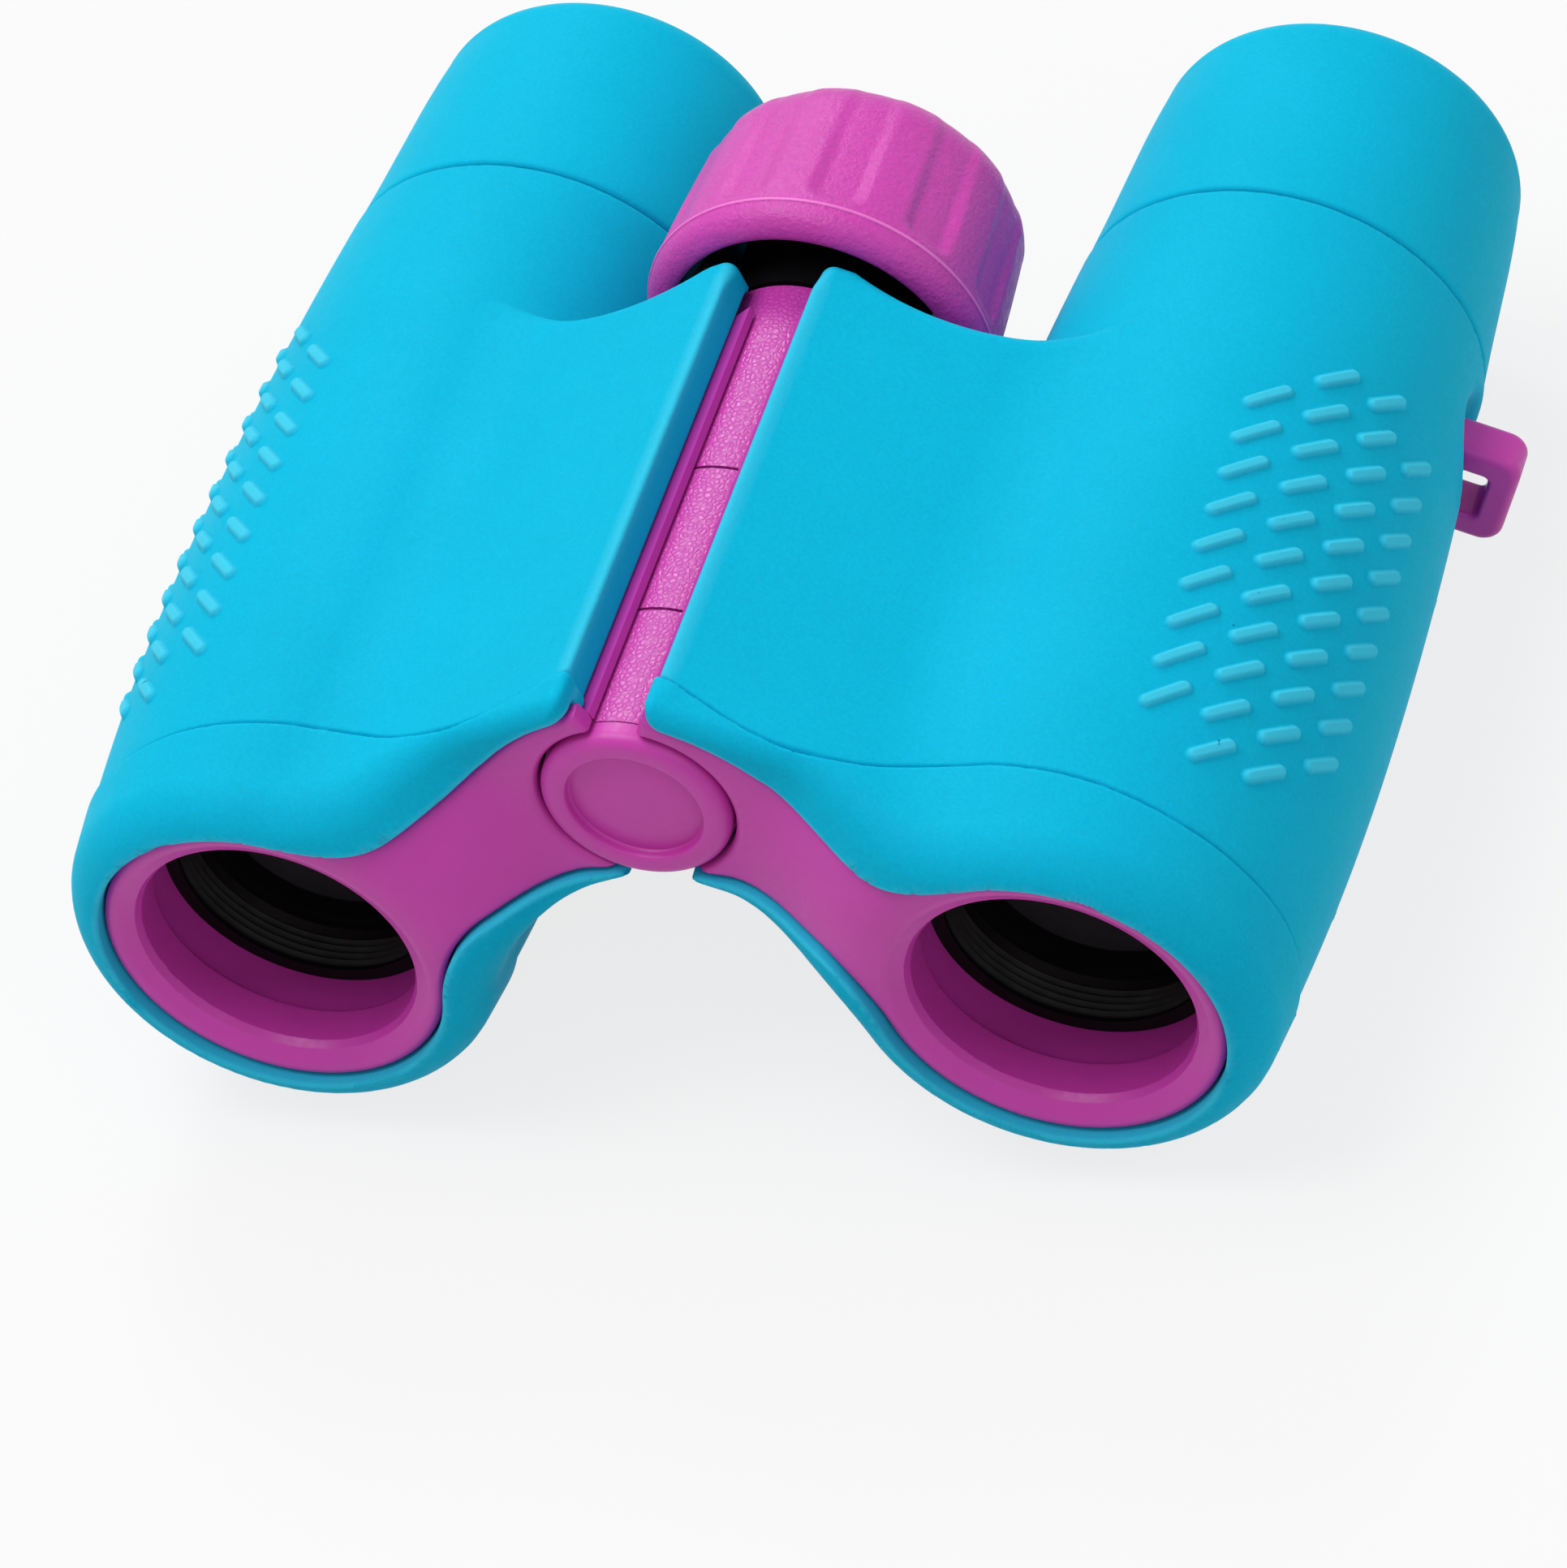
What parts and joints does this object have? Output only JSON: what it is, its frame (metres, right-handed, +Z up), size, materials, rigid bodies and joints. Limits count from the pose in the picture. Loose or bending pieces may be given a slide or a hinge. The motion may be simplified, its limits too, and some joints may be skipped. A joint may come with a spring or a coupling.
{
  "type": "toy binoculars",
  "caption": "Compact folding roof-prism binoculars for children, with rubber-armoured barrels, a centre hinge, a fluted focus knob and strap lugs.",
  "frame": {"origin": "middle of the part on the plane that the barrels rest on", "axes": "+X to the right barrel as the user holds it, +Y along the barrels to the eyepieces, +Z up from the rest plane to the hinge"},
  "size_m": [0.1118, 0.0994, 0.0484],
  "materials": {
    "blue_rubber": "soft matte moulded rubber, sky blue",
    "magenta_plastic": "hard moulded plastic with a fine spark texture, magenta",
    "black_plastic": "matte black moulded plastic",
    "gloss_black_plastic": "gloss black moulded plastic",
    "coated_glass": "coated optical glass",
    "steel": "turned steel"
  },
  "bodies": {
    "left_half": {"left_frame": "magenta_plastic", "left_front_plate": "magenta_plastic", "left_armour": "blue_rubber", "left_eyecup": "blue_rubber", "left_strap_lug": "magenta_plastic", "left_prism_cage": "black_plastic", "left_roof_prism": "coated_glass", "left_half_penta_prism": "coated_glass", "left_eyepiece_tube": "black_plastic", "left_field_lens": "coated_glass", "left_eyepiece_spacer": "black_plastic", "left_eye_lens": "coated_glass", "left_eyepiece_retainer": "black_plastic", "hinge_axle": "steel", "hinge_screw": "steel", "hinge_cap": "magenta_plastic", "hinge_washers": "black_plastic", "knob_clip": "steel"},
    "right_half": {"right_frame": "magenta_plastic", "right_front_plate": "magenta_plastic", "right_armour": "blue_rubber", "right_strap_lug": "magenta_plastic", "right_prism_cage": "black_plastic", "right_roof_prism": "coated_glass", "right_half_penta_prism": "coated_glass"},
    "focus_wheel": {"focus_knob": "magenta_plastic", "knob_hub": "gloss_black_plastic", "knob_end_cap": "magenta_plastic"},
    "left_focus": {"focus_rod": "steel", "focus_cross_pin": "steel", "focus_carriage": "black_plastic", "left_objective_cell": "black_plastic", "left_objective_crown": "coated_glass", "left_objective_flint": "coated_glass", "left_objective_retainer": "black_plastic"},
    "right_focus": {"right_focus_arm": "black_plastic", "right_objective_cell": "black_plastic", "right_objective_crown": "coated_glass", "right_objective_flint": "coated_glass", "right_objective_retainer": "black_plastic"},
    "dioptre_ring": {"right_eyecup": "blue_rubber"},
    "right_eyepiece": {"right_eyepiece_tube": "black_plastic", "right_field_lens": "coated_glass", "right_eyepiece_spacer": "black_plastic", "right_eye_lens": "coated_glass", "right_eyepiece_retainer": "black_plastic"}
  },
  "joints": [
    {"name": "interpupillary_fold", "type": "hinge", "parent": "left_half", "child": "right_half", "pos_m": [0, 0, 0.03365], "axis": [0, 1, 0], "range_deg": [-26, 30]},
    {"name": "focus_turn", "type": "hinge", "parent": "left_half", "child": "focus_wheel", "pos_m": [0, 0, 0.03365], "axis": [0, 1, 0], "range_deg": [-270, 270]},
    {"name": "left_focus_slide", "type": "slide", "parent": "left_half", "child": "left_focus", "axis": [0, 1, 0], "range_m": [-0.00188, 0.00188]},
    {"name": "right_focus_slide", "type": "slide", "parent": "right_half", "child": "right_focus", "axis": [0, 1, 0], "range_m": [-0.0019, 0.0019]},
    {"name": "dioptre_turn", "type": "hinge", "parent": "right_half", "child": "dioptre_ring", "pos_m": [0.03306, 0, 0.01941], "axis": [0, 1, 0], "range_deg": [-40, 40]},
    {"name": "dioptre_slide", "type": "slide", "parent": "right_half", "child": "right_eyepiece", "axis": [0, 1, 0], "range_m": [-0.0012, 0.0012]}
  ],
  "couplings": [
    {"joint": "focus_turn", "follows": "left_focus_slide", "rad_per_m": 2500},
    {"joint": "right_focus_slide", "follows": "left_focus_slide", "ratio": 1},
    {"joint": "dioptre_slide", "follows": "dioptre_turn", "m_per_rad": 0.0017}
  ]
}
